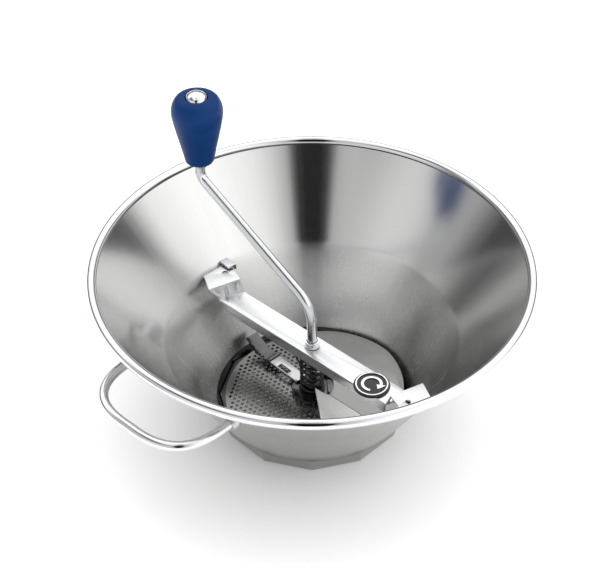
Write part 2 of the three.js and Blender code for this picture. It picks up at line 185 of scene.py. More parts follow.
# Matt seamless background paper, pressed and uncoated: white, with no sheen and a faint fibre.
paper, tree, shader = surface("white_sweep_paper")
shader.inputs["Base Color"].default_value = linear("#fdfdfd")
shader.inputs["Roughness"].default_value = 0.9
fibre = put(tree, "ShaderNodeTexNoise", values={"Scale": 900, "Detail": 3},
            links={"Vector": put(tree, "ShaderNodeTexCoord").outputs["Object"]})
grain = put(tree, "ShaderNodeBump", values={"Strength": 0.05, "Distance": 0.0002},
            links={"Height": fibre.outputs[0]})
tree.links.new(grain.outputs[0], shader.inputs["Normal"])
floor_mesh = bpy.data.meshes.new("floor")
reach = 40
floor_mesh.from_pydata([(-reach, -reach, 0), (reach, -reach, 0), (reach, reach, 0), (-reach, reach, 0)], [],
                       [(0, 1, 2, 3)])
floor_mesh.transform(Matrix.Translation((0, 0, cad_box[0][2])))
floor_mesh.materials.append(paper)
floor = bpy.data.objects.new("floor", floor_mesh)
scene.collection.objects.link(floor)
# A wide overhead panel that lights only the sweep, so that it stays white and the steel keeps its contrast.
overhead = bpy.data.lights.new("sweep_light", "SUN")
overhead.energy = 1.6
overhead.angle = math.radians(110)
sweep_light = bpy.data.objects.new("sweep_light", overhead)
scene.collection.objects.link(sweep_light)
sweep_only = bpy.data.collections.new("sweep_only")
sweep_only.objects.link(floor)
sweep_light.light_linking.receiver_collection = sweep_only

# ---- bowl ----
# One blank of 18/10 stainless sheet, 1.2 mm thick, spun to two cones, pressed to twelve flats round the
# seat and rolled over at the rim. Its walls are satin from fine circular brushing, its rim is buffed.
rim_radius = 151.5
rim_height = rim_top / mm - 3.5
bead_radius = 3.5
bowl_sheet = 1.2
bend_radius = 104.9
bend_height = 70.1
lip_radius = 60.5
base_radius = 68.4
seat_radius = 70
seat_height = 13
seat_turn = math.radians(12.5)
upper_slope = (rim_radius - bead_radius * 0.94 - bend_radius) / (rim_height - bowl_sheet - bend_height)
lower_slope = (bend_radius - seat_radius) / (bend_height - seat_height)
wall_upper = bowl_sheet * math.hypot(1, upper_slope)
wall_lower = bowl_sheet * math.hypot(1, lower_slope)


def seat_inner(z):
    """The seat's inner corner radius at a height, which widens a little from base to top."""
    low_radius = base_radius - wall_lower
    high_radius = seat_radius - 0.6
    return low_radius + (z - 1) / (seat_height - 2) * (high_radius - low_radius)


def eased(corners):
    """Rounds each (r, z, ease) corner over its ease to either side."""
    points = []
    for i, (r, z, ease) in enumerate(corners):
        here = Vector((r, z))
        if not ease:
            points.append(here)
            continue
        back = Vector(corners[i - 1][:2]) - here
        ahead = Vector(corners[(i + 1) % len(corners)][:2]) - here
        start = here + back.normalized() * ease
        end = here + ahead.normalized() * ease
        steps = 7
        for k in range(steps + 1):
            t = k / steps
            points.append(start * (1 - t) ** 2 + here * 2 * t * (1 - t) + end * t ** 2)
    return points


def turned(outline, segments, start=0.0, closed=True):
    """Turns an (r, z) outline in millimetres round Z into a mesh in metres."""
    shape = bmesh.new()
    rings = []
    for r, z in outline:
        if r < 1e-6:
            rings.append([shape.verts.new((0, 0, z * mm))])
            continue
        angles = [start + 2 * math.pi * k / segments for k in range(segments)]
        rings.append([shape.verts.new((r * mm * math.cos(a), r * mm * math.sin(a), z * mm)) for a in angles])
    pairs = list(zip(rings, rings[1:] + rings[:1])) if closed else list(zip(rings, rings[1:]))
    for number, (one, two) in enumerate(pairs):
        if len(one) == 1 and len(two) == 1:
            continue
        for k in range(segments):
            after = (k + 1) % segments
            corners = [one[k % len(one)], one[after % len(one)], two[after % len(two)], two[k % len(two)]]
            face = shape.faces.new(list(dict.fromkeys(corners)))
            face.material_index = number
    return shape


def press_flats(shape, round_radius):
    """Presses everything below the seat's top, outside the given radius, into twelve flats."""
    step = math.pi / 6
    for vert in shape.verts:
        x, y, z = vert.co / mm
        if math.hypot(x, y) < round_radius + 0.1:
            continue
        amount = min(1, max(0, seat_height - z))
        turn = (math.atan2(y, x) - seat_turn) % step
        flat = math.cos(step / 2) / math.cos(turn - step / 2)
        scale = 1 + amount * (flat - 1)
        vert.co.x *= scale
        vert.co.y *= scale


def piece(name, shape, body, materials, nodes=(), crease=30):
    """Makes a mesh a piece of the mill: faces out, smooth but for its creases, riding on its body."""
    if shape.calc_volume(signed=True) < 0:
        bmesh.ops.reverse_faces(shape, faces=shape.faces)
    if len(materials) == 1:
        for face in shape.faces:
            face.material_index = 0
    mesh = bpy.data.meshes.new(name)
    shape.to_mesh(mesh)
    shape.free()
    for material in materials:
        mesh.materials.append(material)
    mesh.shade_smooth()
    mesh.set_sharp_from_angle(angle=math.radians(crease))
    made = bpy.data.objects.new(name, mesh)
    scene.collection.objects.link(made)
    if nodes:
        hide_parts(*nodes)
    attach(made, body)
    return made


def spun_steel(name, colour, low, high, lines_show=0.05, wear_and_painted_shade=(0, 0.001, 0, 1)):
    """Satin stainless, brushed in circles round Z: light stretches up and down the wall in soft rays.

    Its last argument holds the two heights that a zone fades between, the roughness added below and the tone
    there:
    real wear where the roughness rises, and painted shade where the tone darkens.
    """
    material, tree, shader = surface(name)
    place = put(tree, "ShaderNodeTexCoord").outputs["Object"]
    flat = put(tree, "ShaderNodeVectorMath", {"operation": "MULTIPLY"}, {1: (1, 1, 0)}, {0: place})
    radius = put(tree, "ShaderNodeVectorMath", {"operation": "LENGTH"}, links={0: flat.outputs[0]})
    split = put(tree, "ShaderNodeSeparateXYZ", links={0: place})
    climb = put(tree, "ShaderNodeMath", {"operation": "ADD"},
                links={0: radius.outputs["Value"], 1: split.outputs["Z"]})
    # The real lines are about 0.05 mm apart; these are drawn 0.7 mm apart so that they show.
    line_place = put(tree, "ShaderNodeCombineXYZ", links={0: split.outputs["X"], 1: split.outputs["Y"]})
    line_place = put(tree, "ShaderNodeVectorMath", {"operation": "SCALE"}, {"Scale": 14},
                     {0: line_place.outputs[0]})
    line_height = put(tree, "ShaderNodeMath", {"operation": "MULTIPLY"}, {1: 1400}, {0: climb.outputs[0]})
    line_height = put(tree, "ShaderNodeCombineXYZ", links={2: line_height.outputs[0]})
    line_place = put(tree, "ShaderNodeVectorMath", {"operation": "ADD"},
                     links={0: line_place.outputs[0], 1: line_height.outputs[0]})
    lines = put(tree, "ShaderNodeTexNoise", values={"Scale": 1, "Detail": 3, "Roughness": 0.6},
                links={"Vector": line_place.outputs[0]})
    # Rays run up the wall where the pressure of the brush wandered.
    ray_place = put(tree, "ShaderNodeVectorMath", {"operation": "NORMALIZE"}, links={0: flat.outputs[0]})
    rays = put(tree, "ShaderNodeTexNoise", values={"Scale": 9, "Detail": 6, "Roughness": 0.7},
               links={"Vector": ray_place.outputs[0]})
    both = put(tree, "ShaderNodeMath", {"operation": "MULTIPLY_ADD"}, {1: 0.45},
               {0: lines.outputs[0], 2: rays.outputs[0]})
    rough = put(tree, "ShaderNodeMapRange", values={"From Min": 0.35, "From Max": 1.1, "To Min": low,
                                                    "To Max": high}, links={"Value": both.outputs[0]})
    tint = put(tree, "ShaderNodeMapRange", values={"From Min": 0.35, "From Max": 1.1, "To Min": 0.93,
                                                   "To Max": 1.04}, links={"Value": both.outputs[0]})
    wear_and_shade_low, wear_and_shade_high, worn_rough, wear_and_shade_tone = wear_and_painted_shade
    wear_rough = put(tree, "ShaderNodeMapRange", {"interpolation_type": "SMOOTHSTEP"},
                     {"From Min": wear_and_shade_low, "From Max": wear_and_shade_high, "To Min": worn_rough, "To Max": 0},
                     {"Value": split.outputs["Z"]})
    rough = put(tree, "ShaderNodeMath", {"operation": "ADD"},
                links={0: rough.outputs[0], 1: wear_rough.outputs[0]})
    # The tone darkens below the zone: a touch of wear on the wall, and painted shade over the seat on the
    # outside.
    wear_and_shade_darkening = put(tree, "ShaderNodeMapRange", {"interpolation_type": "SMOOTHSTEP"},
                    {"From Min": wear_and_shade_low, "From Max": wear_and_shade_high, "To Min": wear_and_shade_tone, "To Max": 1},
                    {"Value": split.outputs["Z"]})
    tint = put(tree, "ShaderNodeMath", {"operation": "MULTIPLY"},
               links={0: tint.outputs[0], 1: wear_and_shade_darkening.outputs[0]})
    tree.links.new(rough.outputs[0], shader.inputs["Roughness"])
    base = put(tree, "ShaderNodeVectorMath", {"operation": "SCALE"}, {0: linear(colour)[:3]},
               {"Scale": tint.outputs[0]})
    tree.links.new(base.outputs[0], shader.inputs["Base Color"])
    bump = put(tree, "ShaderNodeBump", values={"Strength": lines_show, "Distance": 0.00004},
               links={"Height": lines.outputs[0]})
    tree.links.new(bump.outputs[0], shader.inputs["Normal"])
    shader.inputs["Metallic"].default_value = 1
    shader.inputs["Anisotropic"].default_value = 0.35
    shader.inputs["Anisotropic Rotation"].default_value = 0.25
    around = put(tree, "ShaderNodeTangent", {"direction_type": "RADIAL", "axis": "Z"})
    tree.links.new(around.outputs[0], shader.inputs["Tangent"])
    return material


def buffed_steel(name, colour, low, high):
    """Buffed stainless: a near mirror with faint wipe marks and a slow waviness."""
    material, tree, shader = surface(name)
    place = put(tree, "ShaderNodeTexCoord").outputs["Object"]
    wipes = put(tree, "ShaderNodeTexNoise", values={"Scale": 260, "Detail": 5, "Roughness": 0.65},
                links={"Vector": place})
    rough = put(tree, "ShaderNodeMapRange", values={"From Min": 0.3, "From Max": 0.75, "To Min": low,
                                                    "To Max": high}, links={"Value": wipes.outputs[0]})
    tree.links.new(rough.outputs[0], shader.inputs["Roughness"])
    waves = put(tree, "ShaderNodeTexNoise", values={"Scale": 45, "Detail": 2}, links={"Vector": place})
    bump = put(tree, "ShaderNodeBump", values={"Strength": 0.15, "Distance": 0.0001},
               links={"Height": waves.outputs[0]})
    tree.links.new(bump.outputs[0], shader.inputs["Normal"])
    shader.inputs["Base Color"].default_value = linear(colour)
    shader.inputs["Metallic"].default_value = 1
    return material


# Brushed with a fine pad while it turned, so highlights run up and down the wall in soft-edged bands. The
# lower cone, where the food is pushed round, is worn duller.
satin_wall = spun_steel("spun_satin_stainless", "#d3d3d2", 0.13, 0.2, wear_and_painted_shade=(0.06, 0.074, 0.1, 0.97))
# The outside was ground coarser and never buffed, so it is duller; the dark band above the seat is painted
# shade.
satin_outside = spun_steel("ground_stainless_outside", "#adadab", 0.15, 0.26, 0.08, (0.0128, 0.03, 0.04, 0.45))
# The dies burnished the flats as they closed on them: an even shine with hardly a line in it.
pressed_flats = spun_steel("die_pressed_stainless", "#a9a9a7", 0.12, 0.2, 0.03)
# The shoulder between round and flat was drawn over the edge of the die, which left it dull; its dark colour is
# painted shade.
shoulder_painted_shade = buffed_steel("painted_shade_pressed_shoulder", "#2c2c2c", 0.3, 0.45)
# Polished on a cloth mop: a near mirror with faint wipe marks, on the rim, the bushes, rivets and marks.
buffed = buffed_steel("buffed_stainless", "#dcdddf", 0.06, 0.16)
bead_steps = 30
bead = []
for k in range(bead_steps + 1):
    angle = math.radians(200 - 335 * k / bead_steps)
    bead.append((rim_radius + bead_radius * math.cos(angle), rim_height + bead_radius * math.sin(angle), 0))
outline = eased([
    (lip_radius, bowl_sheet, 0),
    (seat_inner(bowl_sheet), bowl_sheet, 0.8),
    (seat_inner(seat_height - 1), seat_height - 1, 0.4),
    (seat_radius, seat_height, 0.5),
    (bend_radius, bend_height, 1.8),
    *bead,
    (bend_radius + wall_upper, bend_height - 0.2, 1.8),
    (seat_radius + wall_lower, seat_height, 0.5),
    (seat_radius + wall_lower - 0.6, seat_height - 1, 0.4),
    (base_radius, 1, 0.5),
    (base_radius - 1, 0, 0.5),
    (lip_radius, 0, 0),
])
bowl_shape = turned(outline, 240, seat_turn)
press_flats(bowl_shape, lip_radius)
first_bead = next(i for i, p in enumerate(outline) if p[1] > rim_height - 3)
for face in bowl_shape.faces:
    past_bead = face.material_index - first_bead
    face.material_index = 0 if past_bead < 0 else 1 if past_bead < bead_steps else 2
    # Faces just under the seat's top take the dark shoulder colour, which is painted shade.
    above_seat = face.calc_center_median().z / mm - seat_height
    if above_seat < 0.3:
        face.material_index = 4 if above_seat > -1.2 else 3
piece("bowl_shell", bowl_shape, "bowl",
      [satin_wall, buffed, satin_outside, pressed_flats, shoulder_painted_shade], ["bowl"], 24)

# ---- loop handle ----
# Drawn round rod, 6.8 mm thick, bent to a loop and welded to the bowl at both ends, then buffed.
rod_tree = bpy.data.node_groups.new("rod_along_path", "GeometryNodeTree")
rod_tree.interface.new_socket("Path", in_out="INPUT", socket_type="NodeSocketGeometry")
rod_radius_input = rod_tree.interface.new_socket("Rod Radius", in_out="INPUT", socket_type="NodeSocketFloat")
rod_finish_input = rod_tree.interface.new_socket("Finish", in_out="INPUT", socket_type="NodeSocketMaterial")
rod_tree.interface.new_socket("Rod", in_out="OUTPUT", socket_type="NodeSocketGeometry")
rod_in = put(rod_tree, "NodeGroupInput")
section = put(rod_tree, "GeometryNodeCurvePrimitiveCircle", values={"Resolution": 28},
              links={"Radius": rod_in.outputs["Rod Radius"]})
rod_solid = put(rod_tree, "GeometryNodeCurveToMesh", values={"Fill Caps": True},
                links={"Curve": rod_in.outputs["Path"], "Profile Curve": section.outputs["Curve"]})
rod_real = put(rod_tree, "GeometryNodeRealizeInstances", links={0: rod_solid.outputs[0]})
rod_done = put(rod_tree, "GeometryNodeSetMaterial",
               links={"Geometry": rod_real.outputs[0], "Material": rod_in.outputs["Finish"]})
put(rod_tree, "NodeGroupOutput", links={0: rod_done.outputs[0]})


def routed(corners):
    """Points along straight runs whose corners are rounded over their own ease, in millimetres."""
    points = [Vector(corners[0][:3])]
    for i in range(1, len(corners) - 1):
        here, ease = Vector(corners[i][:3]), corners[i][3]
        before = here + (Vector(corners[i - 1][:3]) - here).normalized() * ease
        after = here + (Vector(corners[i + 1][:3]) - here).normalized() * ease
        points.extend(before * (1 - k / 20) ** 2 + here * 2 * k / 20 * (1 - k / 20) + after * (k / 20) ** 2
                      for k in range(21))
    return [*points, Vector(corners[-1][:3])]


def baked(name, data, tree, inputs):
    """Runs a Geometry Nodes tree on a curve or mesh and returns what it makes as an editable mesh."""
    source = bpy.data.objects.new(name + "_source", data)
    scene.collection.objects.link(source)
    modifier = source.modifiers.new(name, "NODES")
    modifier.node_group = tree
    for socket, value in inputs.items():
        modifier[socket.identifier] = value
    graph = bpy.context.evaluated_depsgraph_get()
    mesh = bpy.data.meshes.new_from_object(source.evaluated_get(graph), depsgraph=graph)
    shape = bmesh.new()
    shape.from_mesh(mesh)
    source.modifiers.remove(modifier)
    bpy.data.objects.remove(source)
    return shape


def rod(name, points, radius, finish, turn):
    """A round rod along points in millimetres, turned round Z."""
    path = bpy.data.curves.new(name, "CURVE")
    path.dimensions = "3D"
    line = path.splines.new("POLY")
    line.points.add(len(points) - 1)
    for spot, point in zip(line.points, points):
        spot.co = (*(Matrix.Rotation(turn, 3, "Z") @ point * mm), 1)
    return baked(name, path, rod_tree, {rod_radius_input: radius * mm, rod_finish_input: finish})


# Rod drawn through a die and polished on a cloth mop: a near mirror that ripples a little along its length.
drawn_rod, tree, shader = surface("buffed_drawn_rod")
rod_place = put(tree, "ShaderNodeTexCoord").outputs["Object"]
wipe = put(tree, "ShaderNodeTexNoise", values={"Scale": 420, "Detail": 4}, links={"Vector": rod_place})
rod_rough = put(tree, "ShaderNodeMapRange", values={"From Min": 0.3, "From Max": 0.75, "To Min": 0.09,
                                                    "To Max": 0.2}, links={"Value": wipe.outputs[0]})
tree.links.new(rod_rough.outputs[0], shader.inputs["Roughness"])
ripple = put(tree, "ShaderNodeTexNoise", values={"Scale": 70, "Detail": 2}, links={"Vector": rod_place})
rod_bump = put(tree, "ShaderNodeBump", values={"Strength": 0.2, "Distance": 0.0001},
               links={"Height": ripple.outputs[0]})
tree.links.new(rod_bump.outputs[0], shader.inputs["Normal"])
shader.inputs["Base Color"].default_value = linear("#d8d9db")
shader.inputs["Metallic"].default_value = 1
handle_low, handle_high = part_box("loop_handle")
handle_height = (handle_low[2] + handle_high[2]) / 2 / mm
handle_rod_radius = 3.4
handle_out = -handle_low[1] / mm - handle_rod_radius
handle_root = 124.9
half_width = 45
handle_route = routed([
    (handle_root, -half_width, handle_height, 0),
    (handle_out, -half_width, handle_height, 38),
    (handle_out, half_width, handle_height, 38),
    (handle_root, half_width, handle_height, 0),
])
handle_shape = rod("loop", handle_route, handle_rod_radius, drawn_rod, math.radians(-90))
piece("loop_handle_rod", handle_shape, "bowl", [drawn_rod], ["loop_handle"])


def from_frame(name, node, body, material, edge=0.3, crease=32):
    """A part whose frame shape is right, given rounded edges and smooth round faces."""
    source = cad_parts[node]
    shape = bmesh.new()
    shape.from_mesh(source.data)
    shape.transform(source.matrix_world)
    bmesh.ops.remove_doubles(shape, verts=shape.verts, dist=2e-6)
    bmesh.ops.dissolve_limit(shape, angle_limit=math.radians(0.8), verts=shape.verts, edges=shape.edges)
    if edge:
        corners = [e for e in shape.edges if len(e.link_faces) == 2
                   and e.calc_face_angle(0) > math.radians(crease)]
        bmesh.ops.bevel(shape, geom=corners, offset=edge * mm, segments=2, profile=0.6, affect="EDGES",
                        clamp_overlap=True)
    return piece(name, shape, body, [material], [node], crease)


# Weld beads, ground smooth by hand, so duller than the rod that they hold.
weld_bead = buffed_steel("ground_weld_bead", "#b9babc", 0.22, 0.4)
from_frame("weld_bead_left", "handle_weld_left", "bowl", weld_bead, 0)
from_frame("weld_bead_right", "handle_weld_right", "bowl", weld_bead, 0)

# ---- rest lugs ----
# Two strips of 1.5 mm stainless, each folded to a hook and spot welded to the wall opposite the handle.
# They sit on the edge of a pot.


def lined_steel(name, colour, stretch, detail, fineness, low, high, lines_show, spread):
    """Stainless with straight lines along X: its highlights spread across the lines."""
    material, tree, shader = surface(name)
    place = put(tree, "ShaderNodeTexCoord").outputs["Object"]
    along = put(tree, "ShaderNodeMapping", {"vector_type": "POINT"}, {"Scale": stretch}, {"Vector": place})
    lines = put(tree, "ShaderNodeTexNoise", values={"Scale": 1, "Detail": detail, "Roughness": fineness},
                links={"Vector": along.outputs[0]})
    rough = put(tree, "ShaderNodeMapRange", values={"From Min": 0.3, "From Max": 0.75, "To Min": low,
                                                    "To Max": high}, links={"Value": lines.outputs[0]})
    tree.links.new(rough.outputs[0], shader.inputs["Roughness"])
    bump = put(tree, "ShaderNodeBump", values={"Strength": lines_show, "Distance": 0.00005},
               links={"Height": lines.outputs[0]})
    tree.links.new(bump.outputs[0], shader.inputs["Normal"])
    shader.inputs["Base Color"].default_value = linear(colour)
    shader.inputs["Metallic"].default_value = 1
    shader.inputs["Anisotropic"].default_value = spread
    return material


# Strip rolled to a satin and folded: a soft shine across fine rolling lines, drawn 1 mm apart so that they
# show.
pressed_strip = lined_steel("pressed_satin_strip", "#cfd0d1", (40, 1000, 1000), 3, 0.5, 0.22, 0.38, 0.1, 0.4)
from_frame("rest_strip_left", "rest_lug_left", "bowl", pressed_strip)
from_frame("rest_strip_right", "rest_lug_right", "bowl", pressed_strip)

# ---- grid ----
# A domed disc of 1 mm stainless punched with 2.5 mm holes in staggered rows, with a plain border and a
# turned-down skirt that drops into the seat. A bush in its middle steadies the rod.
sheet_tree = bpy.data.node_groups.new("perforated_dome", "GeometryNodeTree")
sheet_tree.interface.new_socket("Geometry", in_out="INPUT", socket_type="NodeSocketGeometry")
sheet_inputs = {
    word: sheet_tree.interface.new_socket(word, in_out="INPUT", socket_type="NodeSocketFloat")
    for word in ("Pitch", "Hole Radius", "Sheet Radius", "Margin", "Bore Radius", "Crown Height", "Drop",
                 "Thickness")
}
sheet_finish = sheet_tree.interface.new_socket("Finish", in_out="INPUT", socket_type="NodeSocketMaterial")
sheet_tree.interface.new_socket("Sheet", in_out="OUTPUT", socket_type="NodeSocketGeometry")
sheet_in = put(sheet_tree, "NodeGroupInput").outputs
row = put(sheet_tree, "ShaderNodeMath", {"operation": "MULTIPLY"}, {1: math.sqrt(3) / 2},
          {0: sheet_in["Pitch"]}).outputs[0]
half_rows = put(sheet_tree, "ShaderNodeMath", {"operation": "DIVIDE"},
                links={0: sheet_in["Sheet Radius"], 1: row}).outputs[0]
half_rows = put(sheet_tree, "ShaderNodeMath", {"operation": "CEIL"}, links={0: half_rows}).outputs[0]
row_count = put(sheet_tree, "ShaderNodeMath", {"operation": "MULTIPLY_ADD"}, {1: 2, 2: 1},
                {0: half_rows}).outputs[0]
span = put(sheet_tree, "ShaderNodeMath", {"operation": "MULTIPLY"}, {1: 2}, {0: half_rows}).outputs[0]
span_x = put(sheet_tree, "ShaderNodeMath", {"operation": "MULTIPLY"},
             links={0: span, 1: sheet_in["Pitch"]}).outputs[0]
span_y = put(sheet_tree, "ShaderNodeMath", {"operation": "MULTIPLY"}, links={0: span, 1: row}).outputs[0]
lattice = put(sheet_tree, "GeometryNodeMeshGrid",
              links={"Size X": span_x, "Size Y": span_y, "Vertices X": row_count, "Vertices Y": row_count})
spot = put(sheet_tree, "ShaderNodeSeparateXYZ",
           links={0: put(sheet_tree, "GeometryNodeInputPosition").outputs[0]})
row_number = put(sheet_tree, "ShaderNodeMath", {"operation": "DIVIDE"},
                 links={0: spot.outputs["Y"], 1: row}).outputs[0]
row_number = put(sheet_tree, "ShaderNodeMath", {"operation": "ROUND"}, links={0: row_number}).outputs[0]
odd_row = put(sheet_tree, "ShaderNodeMath", {"operation": "FLOORED_MODULO"}, {1: 2},
              {0: row_number}).outputs[0]
stagger = put(sheet_tree, "ShaderNodeMath", {"operation": "MULTIPLY"},
              links={0: odd_row, 1: sheet_in["Pitch"]}).outputs[0]
stagger = put(sheet_tree, "ShaderNodeMath", {"operation": "MULTIPLY"}, {1: 0.5}, {0: stagger}).outputs[0]
shift = put(sheet_tree, "ShaderNodeCombineXYZ", links={"X": stagger}).outputs[0]
staggered = put(sheet_tree, "GeometryNodeSetPosition",
                links={"Geometry": lattice.outputs["Mesh"], "Offset": shift}).outputs[0]
reach_out = put(sheet_tree, "ShaderNodeVectorMath", {"operation": "LENGTH"},
                links={0: put(sheet_tree, "GeometryNodeInputPosition").outputs[0]}).outputs["Value"]
outer_limit = put(sheet_tree, "ShaderNodeMath", {"operation": "SUBTRACT"},
                  links={0: sheet_in["Sheet Radius"], 1: sheet_in["Margin"]}).outputs[0]
inner_limit = put(sheet_tree, "ShaderNodeMath", {"operation": "ADD"},
                  links={0: sheet_in["Bore Radius"], 1: sheet_in["Margin"]}).outputs[0]
too_far = put(sheet_tree, "FunctionNodeCompare", {"operation": "GREATER_THAN"},
              links={0: reach_out, 1: outer_limit}).outputs[0]
too_near = put(sheet_tree, "FunctionNodeCompare", {"operation": "LESS_THAN"},
               links={0: reach_out, 1: inner_limit}).outputs[0]
unpunched = put(sheet_tree, "FunctionNodeBooleanMath", {"operation": "OR"},
                links={0: too_far, 1: too_near}).outputs[0]
punched = put(sheet_tree, "GeometryNodeDeleteGeometry", {"domain": "POINT"},
              links={"Geometry": staggered, "Selection": unpunched}).outputs[0]
hole_edge = put(sheet_tree, "GeometryNodeCurvePrimitiveCircle", values={"Resolution": 12},
                links={"Radius": sheet_in["Hole Radius"]}).outputs["Curve"]
hole_edges = put(sheet_tree, "GeometryNodeInstanceOnPoints",
                 links={"Points": punched, "Instance": hole_edge}).outputs[0]
hole_edges = put(sheet_tree, "GeometryNodeRealizeInstances", links={0: hole_edges}).outputs[0]
sheet_edge = put(sheet_tree, "GeometryNodeCurvePrimitiveCircle", values={"Resolution": 240},
                 links={"Radius": sheet_in["Sheet Radius"]}).outputs["Curve"]
bore_edge = put(sheet_tree, "GeometryNodeCurvePrimitiveCircle", values={"Resolution": 48},
                links={"Radius": sheet_in["Bore Radius"]}).outputs["Curve"]
edges = put(sheet_tree, "GeometryNodeJoinGeometry")
for edge_curve in (hole_edges, sheet_edge, bore_edge):
    sheet_tree.links.new(edge_curve, edges.inputs[0])
top_face = put(sheet_tree, "GeometryNodeFillCurve", links={"Curve": edges.outputs[0]}).outputs[0]
distance = put(sheet_tree, "ShaderNodeVectorMath", {"operation": "LENGTH"},
               links={0: put(sheet_tree, "GeometryNodeInputPosition").outputs[0]}).outputs["Value"]
fraction = put(sheet_tree, "ShaderNodeMath", {"operation": "POWER"}, {1: 2}, {0: distance}).outputs[0]
lowering = put(sheet_tree, "ShaderNodeMath", {"operation": "MULTIPLY"},
               links={0: fraction, 1: sheet_in["Drop"]}).outputs[0]
dome_height = put(sheet_tree, "ShaderNodeMath", {"operation": "SUBTRACT"},
                  links={0: sheet_in["Crown Height"], 1: lowering}).outputs[0]
lift = put(sheet_tree, "ShaderNodeCombineXYZ", links={"Z": dome_height}).outputs[0]
domed = put(sheet_tree, "GeometryNodeSetPosition", links={"Geometry": top_face, "Offset": lift}).outputs[0]
down = put(sheet_tree, "ShaderNodeMath", {"operation": "MULTIPLY"}, {1: -1},
           {0: sheet_in["Thickness"]}).outputs[0]
down = put(sheet_tree, "ShaderNodeCombineXYZ", links={"Z": down}).outputs[0]
under_face = put(sheet_tree, "GeometryNodeExtrudeMesh", {"mode": "FACES"},
                 {"Offset Scale": 1, "Individual": False}, {"Mesh": domed, "Offset": down}).outputs[0]
under_face = put(sheet_tree, "GeometryNodeFlipFaces", links={0: under_face}).outputs[0]
both_faces = put(sheet_tree, "GeometryNodeJoinGeometry")
for half in (domed, under_face):
    sheet_tree.links.new(half, both_faces.inputs[0])
sealed = put(sheet_tree, "GeometryNodeMergeByDistance", values={"Distance": 1e-6},
             links={"Geometry": both_faces.outputs[0]}).outputs[0]
sealed = put(sheet_tree, "GeometryNodeRealizeInstances", links={0: sealed}).outputs[0]
sealed = put(sheet_tree, "GeometryNodeSetMaterial",
             links={"Geometry": sealed, "Material": sheet_in["Finish"]}).outputs[0]
put(sheet_tree, "NodeGroupOutput", links={0: sealed})
# Sheet that was brushed before it was punched, and is rubbed greyer by the food than the wall.
punched_steel = spun_steel("punched_satin_stainless", "#828280", 0.2, 0.3)
grid_edge, grid_rise, flat_radius, border_radius = 10.5, 2, 63.5, 64
hole_pitch, hole_radius = 4.2, 1.25
grid_drop = grid_rise / flat_radius ** 2
grid_shape = baked("grid", bpy.data.meshes.new("grid_blank"), sheet_tree, {
    sheet_inputs["Pitch"]: hole_pitch * mm,
    sheet_inputs["Hole Radius"]: hole_radius * mm,
    sheet_inputs["Sheet Radius"]: border_radius * mm,
    sheet_inputs["Margin"]: 2.2 * mm,
    sheet_inputs["Bore Radius"]: 7.3 * mm,
    sheet_inputs["Crown Height"]: (grid_edge + grid_rise) * mm,
    sheet_inputs["Drop"]: grid_drop / mm,
    sheet_inputs["Thickness"]: 1.0 * mm,
    sheet_finish: punched_steel,
})
piece("grid_perforated_sheet", grid_shape, "bowl", [punched_steel], ["grid_disc"])


def dome(r, drop=0):
    """A point on the grid's dome at a radius, or a drop under it."""
    return (r, grid_edge + grid_rise - grid_drop * r * r - drop)


fold_radius, skirt_low, skirt_gap, grid_sheet = 66.4, 1.5, 0.6, 1
border = [
    dome(border_radius), dome(fold_radius),
    (seat_inner(grid_edge - 0.2) - skirt_gap - 0.5, grid_edge - 0.5),
    (seat_inner(grid_edge - 1) - skirt_gap, grid_edge - 1.2),
    (seat_inner(skirt_low) - skirt_gap, skirt_low),
    (seat_inner(skirt_low) - skirt_gap - grid_sheet, skirt_low),
    (seat_inner(grid_edge - 1) - skirt_gap - grid_sheet - 0.1, grid_edge - 1.8),
    dome(fold_radius - 0.1, grid_sheet), dome(border_radius, grid_sheet),
]
border_shape = turned(border, 240, seat_turn)
press_flats(border_shape, border_radius)
# The border and skirt were drawn down over a die and not polished, so their shine is dull; their dark colour is
# painted shade for the gap round the disc.
skirt_painted_shade_steel = buffed_steel("painted_shade_pressed_skirt", "#4a4a4a", 0.25, 0.4)
piece("grid_border_and_skirt", border_shape, "bowl", [skirt_painted_shade_steel], (), 28)
from_frame("grid_centre_bush", "grid_bush", "bowl", buffed, 0.25)

# ---- crossbar ----
# A channel folded from 1.5 mm stainless, its ends joggled up into tongues that hook under the lugs.
# Its top is satin along its length, and a turned bush riveted through it guides the rod.

# Linear satin from an abrasive belt: bright, with soft highlights across the belt lines, which are drawn
# 0.9 mm apart so that they show.
bar_steel = lined_steel("linear_satin_stainless", "#dadbdc", (22, 1100, 1100), 4, 0.6, 0.24, 0.4, 0.12, 0.3)
from_frame("crossbar_channel", "crossbar", "crossbar", bar_steel, 0.45)
from_frame("crossbar_bush", "shaft_bush", "crossbar", buffed, 0.3)

# ---- badge ----
# A steel disc, enamelled black and pressed on the bar, with a bright ring and a turning arrow on it that
# show which way to crank.

# Enamel sprayed on and baked: glossy black with a faint orange peel.
enamel, tree, shader = surface("black_stove_enamel")
peel = put(tree, "ShaderNodeTexNoise", values={"Scale": 900, "Detail": 2},
           links={"Vector": put(tree, "ShaderNodeTexCoord").outputs["Object"]})
peel_bump = put(tree, "ShaderNodeBump", values={"Strength": 0.12, "Distance": 0.00005},
                links={"Height": peel.outputs[0]})
tree.links.new(peel_bump.outputs[0], shader.inputs["Normal"])
peel_rough = put(tree, "ShaderNodeMapRange", values={"To Min": 0.16, "To Max": 0.3},
                 links={"Value": peel.outputs[0]})
tree.links.new(peel_rough.outputs[0], shader.inputs["Roughness"])
shader.inputs["Base Color"].default_value = linear("#0c0d0f")
from_frame("badge_black_disc", "badge_disc", "crossbar", enamel, 0.2)
from_frame("badge_bright_ring", "badge_ring", "crossbar", buffed, 0.08)
from_frame("badge_turning_arrow", "badge_arrow", "crossbar", buffed, 0.08)

